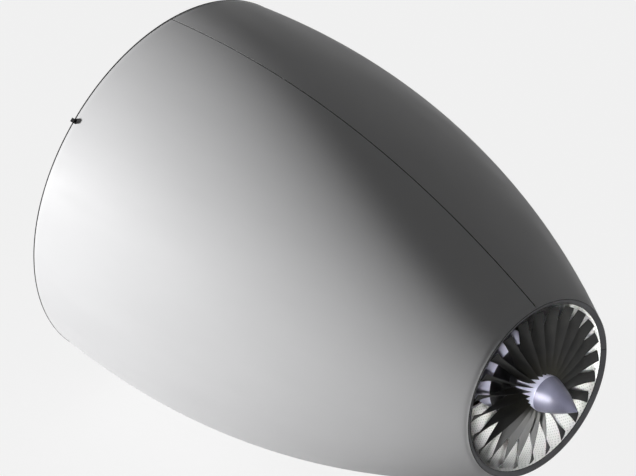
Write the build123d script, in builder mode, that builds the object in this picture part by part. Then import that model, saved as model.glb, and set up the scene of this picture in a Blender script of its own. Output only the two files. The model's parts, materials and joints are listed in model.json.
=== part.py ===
import os
from math import cos, degrees, radians, sin

from build123d import *

# Turbofan engine pod, in millimetres. The engine's axis is X, from the intake plane at x = 0
# back to the nozzle; Z is up, and left and right are as seen when looking forward from behind.

# Fits
seat = 0.3            # gap left between pieces that are bolted or laid together
slip = 0.1            # gap between a ring and the shaft or bore that holds it
tip_gap = 4.0         # from a moving blade to the wall that it sweeps

# Fan case, and the walls that follow its bore
case_r = 806.0
case_wall = 10.0
flange_height = 34.0
flange_thick = 10.0
barrel_step = 2.0     # the barrel's rear end clears the case's front edge
barrel_taper = 7.0    # and the throat is that much wider again
flange_r = case_r + case_wall + flange_height
throat_r = case_r + barrel_step + barrel_taper

# Lengths, from the intake plane back to the tail cone's tip
lip_x = 190.0
barrel_length = 142.0
fan_inset = 2.0       # the fan disc starts that far inside the barrel
fan_length = 190.0
splitter_gap = 40.0
splitter_length = 40.0
booster_length = 142.0
frame_length = 138.0
compressor_length = 283.0
burner_length = 249.0
turbine_length = 338.0
rear_frame_length = 100.0
core_nozzle_length = 135.0
drum_length = 274.0
hub_gap = 61.0        # from the drum's rear face to the last rotor's hub
hub_cover = 70.0      # how far the nozzle ring reaches past the front of that hub
hub_length = 130.0
cone_length = 202.0

# Stations along the axis
case_x = lip_x + barrel_length
fan_front = case_x - fan_inset
fan_rear = fan_front + fan_length
fan_x = fan_front + 94.0
splitter_x = fan_rear + splitter_gap
booster_x = splitter_x + splitter_length
frame_x = booster_x + booster_length
core_x = frame_x + frame_length
diffuser_x = core_x + compressor_length
turbine_x = diffuser_x + burner_length
rear_frame_x = turbine_x + turbine_length
exhaust_x = rear_frame_x + rear_frame_length
core_exit_x = exhaust_x + core_nozzle_length
drum_x = core_exit_x + drum_length
hub_front = drum_x + hub_gap
cowl_length = hub_front + hub_cover
hub_rear = hub_front + hub_length
cone_tip = hub_rear + cone_length
duct_x = core_x
duct_frames = (turbine_x, core_exit_x)

# Nozzle ring
nozzle_r = 424.0
nozzle_step = 4.0     # its throat is that much narrower than its ends
rim_width = 24.5      # the rear face, which is dished inwards
rim_dish = 12.0
rim_land = 5.0        # its outer edge, which stays flat
sleeve_length = 60.0
sleeve_wall = 7.0
ring_thick = 8.0
splice = 2.5

# Cowl
cowl_radii = (case_r + 84.0, case_r + 187.0, case_r + 63.0, nozzle_r + rim_width)    # control radii
skin = 14.0
seam = 6.0
seal_width = 60.0
seal_thick = 3.0
seal_front = 40.0
frame_thick = 6.0

# Intake lip, and the lugs on its rim
lip_wall = 5.0
lip_land = 8.0
lug_count = 3
lug_length = 18.0
lug_width = 20.0
lug_height = 22.0
lug_hole_r = 4.5
lug_r = cowl_radii[0] + lug_height
lug_bolt_r = lug_r - lug_height / 2

# Bypass duct
duct_bulge = 9.0
duct_waist_r = 600.0
duct_radii = (case_r, case_r + duct_bulge, duct_waist_r, nozzle_r)    # control radii, inner face
duct_wall = 8.0

# Fan
blade_count = 24
fan_hub_r = 235.0
fan_tip_r = case_r - 6.0
spinner_length = 270.0
spinner_step = 5.0
spinner_shoulder = (101.0, 155.0)    # back from the tip, and its radius
spinner_wall = 6.0
spinner_x = fan_front - spinner_length
spinner_r = fan_hub_r - spinner_step

# Core, by radius
splitter_r = 402.0
splitter_wall = 16.0
booster_span = 86.0
core_wall = 10.0
rib_height = 14.0
strut_count = 10
strut_chord = 110.0
strut_thick = 18.0
booster_case_r = splitter_r - splitter_wall
booster_hub_r = booster_case_r - booster_span
compressor_case_r = (splitter_r - 68.0, 285.0)
compressor_hub_r = (200.0, 245.0)
rib_r = compressor_case_r[0] + core_wall + rib_height
burner_case_r = 346.0
burner_wall = 8.0
turbine_case_r = (280.0, 350.0)
turbine_hub_r = 222.0
hot_hub_r = 200.0
joint_flange_r = burner_case_r + 18.0
rear_flange_r = turbine_case_r[1] + 22.0

# Gearbox and accessories
gearbox_front = core_x + 105.0
gearbox_length = 100.0
gearbox_depth = 62.0
gearbox_rear = gearbox_front + gearbox_length
gearbox_r = rib_r + gearbox_depth
accessory_r = gearbox_r - 18.0

# Core cowl
core_exit_r = 306.0
core_cowl_radii = (splitter_r + 2.0, gearbox_r + 125.0, turbine_case_r[1] + 135.0, core_exit_r)
core_skin = 6.0

# Shafts and bearings
shaft_r = 50.0
shaft_bore_r = 30.0
high_bore_r = 62.0
high_shaft_r = 80.0
race = 14.0
roller_r = 9.7
bearing_width = 34.0
roller_count = 14
low_bearings = (frame_x + 46.0, rear_frame_x + 52.0, drum_x - 37.0)
high_bearings = (core_x - 24.0, turbine_x - 90.0)
housing_wall = 12.0
low_housing_r = shaft_r + 2 * race + 2 * (roller_r + seat) + slip
high_housing_r = high_shaft_r + 2 * race + 2 * (roller_r + seat) + slip
inner_case_r = high_housing_r + housing_wall

# Rear body, last rotor and tail cone
drum_r = 184.0
drum_wall = 6.0
hub_r = (76.0, 90.0)
rotor_x = hub_front + 54.0
rotor_tip_gap = 11.0
rotor_tip_r = nozzle_r - nozzle_step - rotor_tip_gap
rotor_phase = -3.4
cone_shoulder = (108.0, 61.0)    # back from the base, and its radius
cone_wall = 5.0


def around(count, start=0.0):
    """Places spaced evenly by turning about the engine's axis."""
    return [Location((0, 0, 0), (start + 360 / count * i, 0, 0)) for i in range(count)]


def half_plane(angle):
    """The plane through the axis, turned from the top by an angle; its second axis is radial."""
    a = radians(angle)
    return Plane((0, 0, 0), x_dir=(1, 0, 0), z_dir=(0, -cos(a), -sin(a)))


def curve_radius(radii, start, end, x):
    """The radius at x of a cubic curve whose control points are evenly spaced along the axis."""
    t = (x - start) / (end - start)
    a, b, c, d = radii
    return a * (1 - t) ** 3 + 3 * b * t * (1 - t) ** 2 + 3 * c * t**2 * (1 - t) + d * t**3


def curve_points(radii, start, end, change=0.0):
    """Control points of that curve, moved out or in by a change of radius."""
    return [(start + (end - start) * i / 3, r + change) for i, r in enumerate(radii)]


def between(pair, start, end, x):
    """The radius at x of a straight cone."""
    return pair[0] + (pair[1] - pair[0]) * (x - start) / (end - start)


def cowl_inside(x):
    return curve_radius(cowl_radii, 0, cowl_length, x) - skin


def duct_outside(x):
    return curve_radius(duct_radii, duct_x, cowl_length - sleeve_length, x) + duct_wall


def lens(x, chord, thick, camber=0.0, stagger=0.0):
    """A blade's section in the current sketch: two arcs from nose to tail."""
    corner = [(-chord / 2, 0), (0, camber + thick / 2), (chord / 2, 0), (0, camber - thick / 2)]
    nose, back, tail, belly = [Vector(x, 0) + Vector(u, v).rotate(Axis.Z, stagger) for u, v in corner]
    with BuildLine() as outline:
        ThreePointArc(nose, back, tail)
        ThreePointArc(tail, belly, nose)
    make_face(outline.edges())


def straight_blade(x, low, high, chord, thick, camber=0.0, stagger=0.0):
    with BuildPart() as blade:
        with BuildSketch(Plane.XY.offset(low)):
            lens(x, chord, thick, camber, stagger)
        extrude(amount=high - low)
    return blade.part


def twisted_blade(x, sections, limits):
    """A blade lofted outwards through (radius, chord, thick, camber, stagger), kept inside limits."""
    with BuildPart() as blade:
        for radius, chord, thick, camber, stagger in sections:
            with BuildSketch(Plane.XY.offset(radius)):
                lens(x, chord, thick, camber, stagger)
        loft()
        add(limits, mode=Mode.INTERSECT)
    return blade.part


def ring_section(x0, x1, r0, r1):
    """A rectangle of the current sketch, by its ends and radii."""
    with Locations(((x0 + x1) / 2, (r0 + r1) / 2)):
        Rectangle(x1 - x0, r1 - r0)


def rings(*sections):
    """Plain rings, each given by its ends and radii."""
    with BuildPart() as made:
        with BuildSketch(Plane.XZ):
            for section in sections:
                ring_section(*section)
        revolve(axis=Axis.X)
    return made


def arc_block(x0, x1, r0, r1, middle, spread):
    """A block bent round the axis, centred on an angle from the top."""
    with BuildPart() as made:
        with BuildSketch(half_plane(middle - spread / 2)):
            ring_section(x0, x1, r0, r1)
        revolve(axis=Axis.X, revolution_arc=spread)
    return made


pieces = {}

# Cowl halves, split along the top and the bottom
with BuildPart() as cowl_left:
    with BuildSketch(Plane.XZ):
        with BuildLine():
            outer = Bezier(*curve_points(cowl_radii, 0, cowl_length))
            inner = Bezier(*curve_points(cowl_radii, 0, cowl_length, -skin))
            Line(outer @ 0, inner @ 0)
            Line(outer @ 1, inner @ 1)
        make_face()
    revolve(axis=Axis.X, revolution_arc=180)
    split(bisect_by=Plane.XZ.offset(seam / 2), keep=Keep.TOP)
    split(bisect_by=Plane.YZ.offset(cowl_length - ring_thick - seat), keep=Keep.BOTTOM)
pieces["cowl_left"] = cowl_left

with BuildPart() as cowl_right:
    mirror(cowl_left.part, about=Plane.XZ)
pieces["cowl_right"] = cowl_right

# Seal strips behind the two seams
seal_end = cowl_length - sleeve_length - seat
seal_spread = degrees(seal_width * len(cowl_radii) / sum(cowl_radii))
with BuildPart() as cowl_seals:
    for side in (0, 180):
        with BuildSketch(half_plane(side - seal_spread / 2)):
            with BuildLine():
                outer = Bezier(*curve_points(cowl_radii, 0, cowl_length, -skin - seat))
                inner = Bezier(*curve_points(cowl_radii, 0, cowl_length, -skin - seat - seal_thick))
                Line(outer @ 0, inner @ 0)
                Line(outer @ 1, inner @ 1)
            make_face()
        revolve(axis=Axis.X, revolution_arc=seal_spread)
    split(bisect_by=Plane.YZ.offset(seal_front), keep=Keep.TOP)
    split(bisect_by=Plane.YZ.offset(seal_end), keep=Keep.BOTTOM)
pieces["cowl_seals"] = cowl_seals

# Intake lip, a rolled nose that turns from the cowl's rim in to the throat
lip_r = cowl_radii[0] - skin - seat
nose_r = lip_r - lip_land
lip_rise = nose_r - throat_r
with BuildPart() as inlet_lip:
    with BuildSketch(Plane.XZ):
        with BuildLine():
            front = EllipticalCenterArc((lip_x, nose_r), lip_x, lip_rise, 180, arc_size=90)
            back = EllipticalCenterArc((lip_x, nose_r), lip_x - lip_wall, lip_rise - lip_wall, 180,
                                       arc_size=90)
            Line(front @ 1, back @ 1)
            Polyline(front @ 0, (0, lip_r), (lip_x, lip_r), (lip_x, lip_r - lip_wall),
                     (lip_wall, lip_r - lip_wall), back @ 0)
        make_face()
    revolve(axis=Axis.X)
pieces["inlet_lip"] = inlet_lip

# Intake barrel, of six panels that meet edge to edge
barrel_x = lip_x + seat
barrel_end = case_x - seat
panel_count = 6
with BuildPart() as inlet_barrel:
    with BuildSketch(Plane.XZ):
        Polygon((barrel_x, throat_r), (barrel_end, case_r + barrel_step), (barrel_end, flange_r),
                (barrel_end - flange_thick, flange_r), (barrel_end - flange_thick, throat_r + case_wall),
                (barrel_x, throat_r + case_wall), align=None)
    revolve(axis=Axis.X)
    with Locations(*around(panel_count, 30)):
        with Locations(((barrel_x + barrel_end) / 2, 0, (throat_r + flange_r) / 2)):
            Box(2 * barrel_length, seat, 2 * flange_height + 2 * case_wall, mode=Mode.SUBTRACT)
pieces["inlet_barrel"] = inlet_barrel


def cowl_frame(x, inside):
    """A flat web from an inner wall out to the cowl, notched where the seal strips pass."""
    low = max(inside(x), inside(x + frame_thick)) + seat
    high = min(cowl_inside(x), cowl_inside(x + frame_thick)) - seat
    notch = 2 * (seal_thick + seat) + abs(cowl_inside(x) - cowl_inside(x + frame_thick))
    with BuildPart() as made:
        with BuildSketch(Plane.XZ):
            ring_section(x, x + frame_thick, low, high)
        revolve(axis=Axis.X)
        with Locations((x + frame_thick / 2, 0, high), (x + frame_thick / 2, 0, -high)):
            Box(2 * frame_thick, 1.2 * seal_width, 2 * notch, mode=Mode.SUBTRACT)
    return made


pieces["inlet_bulkhead"] = cowl_frame(barrel_x, lambda x: throat_r + case_wall)
pieces["fan_bulkhead"] = cowl_frame(duct_x + flange_thick + 2 * seat, duct_outside)
pieces["duct_frame_front"] = cowl_frame(duct_frames[0], duct_outside)
pieces["duct_frame_rear"] = cowl_frame(duct_frames[1], duct_outside)

# Lugs on the intake rim, where the pod is bolted to its carrier
with BuildPart() as mounting_lugs:
    with Locations(*around(lug_count, 45)):
        with Locations((lug_length / 2, 0, (lug_r + cowl_radii[0]) / 2)):
            Box(lug_length, lug_width, lug_r - cowl_radii[0] + 2 * seat)
    with BuildSketch(Plane.XZ):
        with BuildLine():
            outer = Bezier(*curve_points(cowl_radii, 0, cowl_length, seat / 2))
            Polyline(outer @ 0, (0, 0), (cowl_length, 0), outer @ 1)
        make_face()
    revolve(axis=Axis.X, mode=Mode.SUBTRACT)
    with Locations(*around(lug_count, 45)):
        with Locations((lug_length / 2, 0, lug_bolt_r)):
            Cylinder(lug_hole_r, 2 * lug_length, rotation=(0, 90, 0), mode=Mode.SUBTRACT)
pieces["mounting_lugs"] = mounting_lugs

# Fan case with its stiffening ribs, in two rings bolted at a pair of flanges
tank_depth = 34.0
unit_depth = 30.0
case_joint = splitter_x
rib_x = (case_x, fan_x, case_joint - flange_thick, case_joint + seat, frame_x, duct_x - flange_thick)
pieces["fan_case"] = rings(
    (case_x, case_joint, case_r, case_r + case_wall),
    (case_joint + seat, duct_x, case_r, case_r + case_wall),
    *[(x, x + flange_thick, case_r, flange_r) for x in rib_x],
)
tank_end = rib_x[3] + flange_thick
pieces["oil_tank"] = arc_block(rib_x[1], tank_end, flange_r + seat, flange_r + tank_depth, -90, 34)
pieces["control_unit"] = arc_block(rib_x[1], tank_end, flange_r + seat, flange_r + unit_depth, 90, 24)

# Bypass duct, and the nozzle ring that ends it
duct_front = duct_x + seat
duct_end = cowl_length - sleeve_length
with BuildPart() as bypass_duct:
    with BuildSketch(Plane.XZ):
        with BuildLine():
            inner = Bezier(*curve_points(duct_radii, duct_front, duct_end))
            outer = Bezier(*curve_points(duct_radii, duct_front, duct_end, duct_wall))
            Line(outer @ 0, inner @ 0)
            Line(outer @ 1, inner @ 1)
        make_face()
        ring_section(duct_front, duct_front + flange_thick, case_r + duct_wall / 2, flange_r)
    revolve(axis=Axis.X)
pieces["bypass_duct"] = bypass_duct

ring_front = duct_end + seat
rim_x = cowl_length - rim_dish
throat_x = cowl_length - 0.6 * sleeve_length
nozzle_throat_r = nozzle_r - nozzle_step
with BuildPart() as nozzle_ring:
    with BuildSketch(Plane.XZ):
        with BuildLine():
            inner = Spline((ring_front, nozzle_r), (throat_x, nozzle_throat_r), (rim_x, nozzle_r))
            Polyline(inner @ 1, (cowl_length, cowl_radii[-1] - rim_land), (cowl_length, cowl_radii[-1]),
                     (cowl_length - ring_thick, cowl_radii[-1]),
                     (cowl_length - ring_thick, nozzle_r + rim_width / 2),
                     (rim_x - ring_thick, nozzle_r + sleeve_wall),
                     (ring_front, nozzle_r + sleeve_wall), inner @ 0)
        make_face()
    revolve(axis=Axis.X)
    with Locations((cowl_length, (nozzle_r + cowl_radii[-1]) / 2, 0)):
        Box(3 * sleeve_length, cowl_radii[-1] - nozzle_throat_r + 20, splice, mode=Mode.SUBTRACT)
pieces["nozzle_ring"] = nozzle_ring

# Splitter nose, booster case with its vanes, and the guide vanes outside it
with BuildPart() as splitter:
    with BuildSketch(Plane.XZ):
        nose = (splitter_x, (splitter_r + booster_case_r) / 2)
        with BuildLine():
            outer = Bezier(nose, (splitter_x, splitter_r - 3), (splitter_x + 16, splitter_r),
                           (booster_x, splitter_r))
            inner = Bezier(nose, (splitter_x, booster_case_r + 3), (splitter_x + 16, booster_case_r),
                           (booster_x, booster_case_r))
            Line(outer @ 1, inner @ 1)
        make_face()
    revolve(axis=Axis.X)
pieces["splitter"] = splitter

booster_pitch = (frame_x - booster_x) / 5
with BuildPart() as booster_case:
    with BuildSketch(Plane.XZ):
        ring_section(booster_x + seat, frame_x - seat, booster_case_r, splitter_r)
    revolve(axis=Axis.X)
    for row in (1.6, 3.6):
        vane = straight_blade(booster_x + row * booster_pitch, booster_hub_r + tip_gap, booster_case_r + 3,
                              22, 3, -3, -12)
        with Locations(*around(30)):
            add(vane)
pieces["booster_case"] = booster_case

guide_vane = straight_blade((booster_x + frame_x) / 2 + 6, splitter_r + seat, case_r - 0.4, 104, 8, -10, -8)
with BuildPart() as guide_vanes:
    with Locations(*around(36)):
        add(guide_vane)
pieces["guide_vanes"] = guide_vanes

# Fan frame: two hubs joined by struts across the core stream, and the struts outside it
frame_end = core_x - seat
with BuildPart() as fan_frame:
    with BuildSketch(Plane.XZ):
        ring_section(frame_x, frame_end, splitter_r - 6, splitter_r)
        ring_section(frame_x, frame_x + 8, booster_case_r - 14, splitter_r)
        ring_section(frame_end - 10, frame_end, compressor_case_r[0], splitter_r)
        Polygon((frame_x, booster_case_r - 14), (frame_x, booster_case_r - 6),
                (frame_end, compressor_case_r[0] + 8), (frame_end, compressor_case_r[0]), align=None)
        Polygon((frame_x, booster_hub_r - 4), (frame_end, compressor_hub_r[0]),
                (frame_end, compressor_hub_r[0] - 10), (frame_x, booster_hub_r - 14), align=None)
        low_x = low_bearings[0]
        high_x = high_bearings[0]
        cone_r = between((booster_hub_r - 9, compressor_hub_r[0] - 5), frame_x, frame_end, low_x - 17)
        ring_section(low_x - 22, low_x + 20, low_housing_r, low_housing_r + housing_wall)
        ring_section(low_x - 22, low_x - 12, low_housing_r, cone_r)
        ring_section(high_x - 20, frame_end, high_housing_r, high_housing_r + housing_wall)
        ring_section(frame_end - 10, frame_end, high_housing_r, compressor_hub_r[0] - 5)
    revolve(axis=Axis.X)
pieces["fan_frame"] = fan_frame

# Its struts, ten across the core stream and ten in line with them across the bypass stream
with BuildPart() as core_stream:
    with BuildSketch(Plane.XZ):
        Polygon((frame_x, booster_hub_r - 4 + seat), (frame_x, booster_case_r - 14 - seat),
                (frame_end, compressor_case_r[0] - seat), (frame_end, compressor_hub_r[0] + seat),
                align=None)
    revolve(axis=Axis.X)

strut_x = (frame_x + frame_end) / 2
bypass_strut = straight_blade(strut_x, splitter_r + seat, case_r - 0.4, strut_chord, strut_thick)
with BuildPart() as core_strut:
    add(straight_blade(strut_x, compressor_hub_r[0], booster_case_r, strut_chord, strut_thick))
    add(core_stream.part, mode=Mode.INTERSECT)
with BuildPart() as fan_struts:
    with Locations(*around(strut_count, 18)):
        add(core_strut.part)
        add(bypass_strut)
pieces["fan_struts"] = fan_struts

# Core cowl halves, the bypass stream's inner wall
with BuildPart() as core_cowl_left:
    with BuildSketch(Plane.XZ):
        with BuildLine():
            outer = Bezier(*curve_points(core_cowl_radii, core_x, core_exit_x))
            inner = Bezier(*curve_points(core_cowl_radii, core_x, core_exit_x, -core_skin))
            Line(outer @ 0, inner @ 0)
            Line(outer @ 1, inner @ 1)
        make_face()
    revolve(axis=Axis.X, revolution_arc=180)
    split(bisect_by=Plane.XZ.offset(seat / 2), keep=Keep.TOP)
pieces["core_cowl_left"] = core_cowl_left

with BuildPart() as core_cowl_right:
    mirror(core_cowl_left.part, about=Plane.XZ)
pieces["core_cowl_right"] = core_cowl_right

# Fairings across the bypass stream, above and below the core
with BuildPart() as bypass_stream:
    with BuildSketch(Plane.XZ):
        with BuildLine():
            outer = Bezier(*curve_points(duct_radii, duct_front, duct_end, -seat))
            inner = Bezier(*curve_points(core_cowl_radii, core_x, core_exit_x, seat))
            Line(outer @ 0, inner @ 0)
            Line(outer @ 1, inner @ 1)
        make_face()
    revolve(axis=Axis.X)

fairing_chord = 560.0
fairing_thick = 70.0
fairing_x = core_x + 60 + fairing_chord / 2
fairing = straight_blade(fairing_x, compressor_case_r[1], flange_r, fairing_chord, fairing_thick)
for name, side in (("upper_fairing", 0), ("lower_fairing", 180)):
    with BuildPart() as pieces[name]:
        with Locations(Location((0, 0, 0), (side, 0, 0))):
            add(fairing)
        add(bypass_stream.part, mode=Mode.INTERSECT)

# High-pressure compressor
stage_pitch = (diffuser_x - core_x - 30) / 5
stages = [core_x + 26 + stage_pitch * i for i in range(5)]
case_end = diffuser_x - seat
with BuildPart() as compressor_case:
    with BuildSketch(Plane.XZ):
        Polygon((core_x, compressor_case_r[0]), (case_end, compressor_case_r[1]),
                (case_end, compressor_case_r[1] + core_wall), (core_x, compressor_case_r[0] + core_wall),
                align=None)
        for x in (core_x, gearbox_front + 5, gearbox_rear - 5 - flange_thick, case_end - flange_thick):
            wall_r = between(compressor_case_r, core_x, case_end, x + flange_thick) + core_wall / 2
            ring_section(x, x + flange_thick, wall_r, rib_r)
    revolve(axis=Axis.X)
    for x in stages:
        vane_x = x + stage_pitch / 2
        vane = straight_blade(vane_x, between(compressor_hub_r, core_x, case_end, vane_x) + tip_gap,
                              between(compressor_case_r, core_x, case_end, vane_x) + 4, 18, 2.6, -2.5, -20)
        with Locations(*around(24)):
            add(vane)
pieces["compressor_case"] = compressor_case

drum_front = core_x + 10
drum_rear = diffuser_x - 12
with BuildPart() as compressor_rotor:
    with BuildSketch(Plane.XZ):
        front_r = between(compressor_hub_r, core_x, case_end, drum_front)
        rear_r = between(compressor_hub_r, core_x, case_end, drum_rear)
        Polygon((drum_front, front_r), (drum_rear, rear_r), (drum_rear, rear_r - core_wall),
                (drum_front, front_r - core_wall), align=None)
        ring_section(drum_front, drum_front + core_wall, high_bore_r, front_r - core_wall / 2)
        ring_section(drum_rear - core_wall, drum_rear, high_bore_r, rear_r - core_wall / 2)
        ring_section(high_bearings[0] - bearing_width / 2 - 6, drum_front, high_bore_r, high_shaft_r)
    revolve(axis=Axis.X)
    for x in stages:
        root_r = between(compressor_hub_r, core_x, case_end, x) - 4
        end_r = between(compressor_case_r, core_x, case_end, x) - tip_gap
        rotor_blade = straight_blade(x, root_r, end_r, 20, 2.6, 2.5, 35)
        with Locations(*around(24, 5)):
            add(rotor_blade)
pieces["compressor_rotor"] = compressor_rotor

# Combustor: case, liner, fuel nozzles and their manifold
burner_x = diffuser_x + seat
nozzle_count = 18
stem_x = diffuser_x + 34
stem_r = 8.0
gas_r = (turbine_hub_r - 1.0, turbine_case_r[0] + 1.0)
dome_r = (gas_r[0] + gas_r[1]) / 2 + 3.0
dome_x = stem_x + 18
tip_r = 14.0
housing_end = high_bearings[1] + bearing_width / 2 + 6
with BuildPart() as diffuser_case:
    with BuildSketch(Plane.XZ):
        ring_section(burner_x, turbine_x, burner_case_r - burner_wall, burner_case_r)
        ring_section(burner_x, burner_x + flange_thick, compressor_case_r[1], rib_r)
        ring_section(burner_x, burner_x + flange_thick, inner_case_r - burner_wall, compressor_hub_r[1])
        ring_section(burner_x, housing_end, inner_case_r - burner_wall, inner_case_r)
        ring_section(housing_end - bearing_width - 12, housing_end, high_housing_r, inner_case_r)
        ring_section(turbine_x - flange_thick, turbine_x, burner_case_r - burner_wall, joint_flange_r)
    revolve(axis=Axis.X)
    strut = straight_blade(burner_x + 11, compressor_hub_r[1] - 4, compressor_case_r[1] + 4, 20, 5)
    with Locations(*around(16)):
        add(strut)
    with Locations(*around(nozzle_count)):
        with Locations((stem_x, 0, burner_case_r)):
            Cylinder(stem_r + seat, 4 * burner_wall, mode=Mode.SUBTRACT)
    with Locations(*around(2, 50)):
        with Locations((dome_x + 50, 0, burner_case_r)):
            Cylinder(stem_r + seat, 4 * burner_wall, mode=Mode.SUBTRACT)
pieces["diffuser_case"] = diffuser_case

vane_front = turbine_x - 28
liner_wall = 4.0
liner_r = (gas_r[0] - 25.0, gas_r[1] + 31.0)
with BuildPart() as combustor_liner:
    with BuildSketch(Plane.XZ):
        liner_end = vane_front - seat
        bend = liner_end - 48
        inside = (liner_r[0] + liner_wall, liner_r[1] - liner_wall)
        Polygon((dome_x, liner_r[1]), (bend, liner_r[1]), (liner_end, gas_r[1] + liner_wall),
                (liner_end, gas_r[1]), (bend - 1, inside[1]), (dome_x + liner_wall, inside[1]),
                (dome_x + liner_wall, inside[0]), (bend - 1, inside[0]), (liner_end, gas_r[0]),
                (liner_end, gas_r[0] - liner_wall), (bend, liner_r[0]), (dome_x, liner_r[0]), align=None)
    revolve(axis=Axis.X)
    with Locations(*around(nozzle_count)):
        with Locations((dome_x, 0, dome_r)):
            Cylinder(tip_r + seat, 6 * liner_wall, rotation=(0, 90, 0), mode=Mode.SUBTRACT)
    with Locations(*around(nozzle_count, 10)):
        with Locations((bend - 30, 0, (liner_r[0] + liner_r[1]) / 2)):
            Cylinder(7, liner_r[1] - liner_r[0] + 20, mode=Mode.SUBTRACT)
    with Locations(*around(2, 50)):
        with Locations((dome_x + 50, 0, liner_r[1])):
            Cylinder(stem_r + seat, 4 * liner_wall, mode=Mode.SUBTRACT)
pieces["combustor_liner"] = combustor_liner

manifold_r = burner_case_r + 46.0
manifold_tube = 9.0
stem_top = manifold_r - manifold_tube - seat
with BuildPart() as fuel_nozzles:
    with Locations(*around(nozzle_count)):
        with Locations((stem_x, 0, (dome_r + stem_top) / 2)):
            Cylinder(stem_r, stem_top - dome_r)
        with Locations((stem_x + 8, 0, dome_r)):
            Cylinder(tip_r, 36, rotation=(0, 90, 0))
pieces["fuel_nozzles"] = fuel_nozzles

with BuildPart() as fuel_manifold:
    with BuildSketch(Plane.XZ):
        with Locations((stem_x, manifold_r)):
            Circle(manifold_tube)
    revolve(axis=Axis.X)
pieces["fuel_manifold"] = fuel_manifold

igniter_top = burner_case_r + 54.0
igniter_tip = liner_r[1] - 12.0
with BuildPart() as igniters:
    with Locations(*around(2, 50)):
        with Locations((dome_x + 50, 0, (igniter_tip + igniter_top) / 2)):
            Cylinder(stem_r, igniter_top - igniter_tip)
        with Locations((dome_x + 50, 0, burner_case_r + seat + 5)):
            Cylinder(stem_r + 6, 10)
pieces["igniters"] = igniters

# Turbines
with BuildPart() as turbine_nozzle:
    with BuildSketch(Plane.XZ):
        ring_section(vane_front, turbine_x - 1, gas_r[0] - 6, gas_r[0])
        ring_section(vane_front, turbine_x - 1, gas_r[1], gas_r[1] + 6)
        ring_section(turbine_x - 9, turbine_x - 1, gas_r[1], burner_case_r - burner_wall - seat)
    revolve(axis=Axis.X)
    vane = straight_blade(vane_front + 13, gas_r[0] - 3, gas_r[1] + 3, 22, 4, 4, 30)
    with Locations(*around(24)):
        add(vane)
pieces["turbine_nozzle"] = turbine_nozzle

case_front = turbine_x + seat
case_rear = rear_frame_x - seat
disc_x = turbine_x + 33
disc_half = 20.0
with BuildPart() as high_turbine:
    with BuildSketch(Plane.XZ):
        ring_section(disc_x - disc_half, disc_x + disc_half, high_bore_r, high_shaft_r + 20)
        ring_section(disc_x - disc_half / 2, disc_x + disc_half / 2, high_bore_r, gas_r[0] - 10)
        ring_section(disc_x - disc_half + 2, disc_x + disc_half - 2, gas_r[0] - 20, gas_r[0])
    revolve(axis=Axis.X)
    end_r = between(turbine_case_r, case_front, case_rear, disc_x - 14) - tip_gap
    rotor_blade = straight_blade(disc_x, gas_r[0] - 4, end_r, 30, 5, -6, 30)
    with Locations(*around(36)):
        add(rotor_blade)
pieces["high_pressure_turbine"] = high_turbine

shaft_end = disc_x - disc_half - seat
pieces["high_pressure_shaft"] = rings((drum_rear + seat, shaft_end, high_bore_r, high_shaft_r))

row_pitch = (rear_frame_x - 40 - disc_x - disc_half) / 6
low_vanes = [disc_x + disc_half + row_pitch * (2 * i + 0.6) for i in range(3)]
low_blades = [x + row_pitch for x in low_vanes]
with BuildPart() as turbine_case:
    with BuildSketch(Plane.XZ):
        Polygon((case_front, turbine_case_r[0]), (case_rear, turbine_case_r[1]),
                (case_rear, turbine_case_r[1] + core_wall), (case_front, turbine_case_r[0] + core_wall),
                align=None)
        middle_r = [r + core_wall / 2 for r in turbine_case_r]
        ring_section(case_front, case_front + flange_thick, middle_r[0], joint_flange_r)
        ring_section(case_rear - flange_thick, case_rear, middle_r[1], rear_flange_r)
    revolve(axis=Axis.X)
    for x in low_vanes:
        foot_r = between(turbine_case_r, case_front, case_rear, x) + 5
        vane = straight_blade(x, turbine_hub_r + tip_gap, foot_r, 30, 4, 5, 25)
        with Locations(*around(30)):
            add(vane)
pieces["turbine_case"] = turbine_case

low_front = low_blades[0] - 18
low_rear = low_blades[2] + 20
with BuildPart() as low_turbine:
    with BuildSketch(Plane.XZ):
        ring_section(low_front, low_rear, turbine_hub_r - core_wall, turbine_hub_r)
        ring_section(low_rear - 12, low_rear, shaft_r + slip, turbine_hub_r)
        ring_section(low_rear - 24, low_rear + 12, shaft_r + slip, shaft_r + 24)
    revolve(axis=Axis.X)
    for x in low_blades:
        end_r = between(turbine_case_r, case_front, case_rear, x - 15) - tip_gap
        rotor_blade = straight_blade(x, turbine_hub_r - 4, end_r, 30, 4, -5, 28)
        with Locations(*around(30, 4)):
            add(rotor_blade)
pieces["low_pressure_turbine"] = low_turbine

# Rear frame, core nozzle and the drum behind them
frame_rear = exhaust_x - seat
mid_bearing = low_bearings[1]
with BuildPart() as rear_frame:
    with BuildSketch(Plane.XZ):
        ring_section(rear_frame_x, frame_rear, turbine_case_r[1], turbine_case_r[1] + 8)
        ring_section(rear_frame_x, rear_frame_x + flange_thick, turbine_case_r[1], rear_flange_r)
        ring_section(rear_frame_x, frame_rear, hot_hub_r - 8, hot_hub_r)
        ring_section(mid_bearing - 5, mid_bearing + 5, low_housing_r, hot_hub_r)
        ring_section(mid_bearing - 23, mid_bearing + 23, low_housing_r, low_housing_r + housing_wall)
    revolve(axis=Axis.X)
pieces["rear_frame"] = rear_frame

strut_x = (rear_frame_x + frame_rear) / 2
rear_strut = straight_blade(strut_x, hot_hub_r + seat, turbine_case_r[1] - seat, 84, 14)
with BuildPart() as rear_struts:
    with Locations(*around(12)):
        add(rear_strut)
pieces["rear_struts"] = rear_struts

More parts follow.
